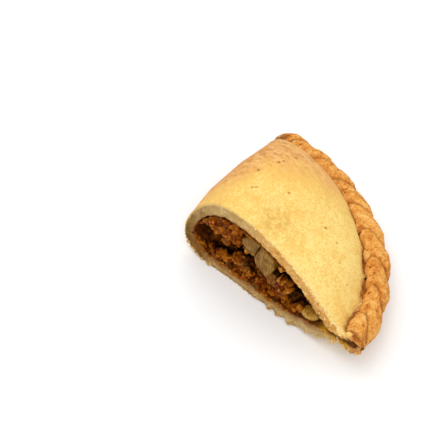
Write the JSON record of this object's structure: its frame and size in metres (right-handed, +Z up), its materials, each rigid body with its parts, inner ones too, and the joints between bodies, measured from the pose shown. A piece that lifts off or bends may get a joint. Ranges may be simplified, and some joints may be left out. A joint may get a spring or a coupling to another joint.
{
  "type": "empanada half",
  "caption": "Cut half of a baked empanada: a golden dough crust closed by a twisted rope crimp, open at the cut to show a crumbly minced filling with onion slices.",
  "frame": {"origin": "centre of the bounding box in plan, on the floor under the flat underside", "axes": "+X along the cut from the fold to the crimp, +Y from the cut face back to the tip, +Z up"},
  "size_m": [0.0782, 0.0562, 0.0369],
  "materials": {
    "crust": "baked dough, dull golden yellow, browner on the crimp and pale at the cut",
    "filling": "moist minced meat, brown with orange oil and dark hollows",
    "onion": "cooked onion, grey-beige, finely veined and slightly wet"
  },
  "bodies": {
    "root": {"crust": "crust", "filling": "filling", "onion_upper": "onion", "onion_lower": "onion", "onion_end": "onion"}
  },
  "joints": []
}
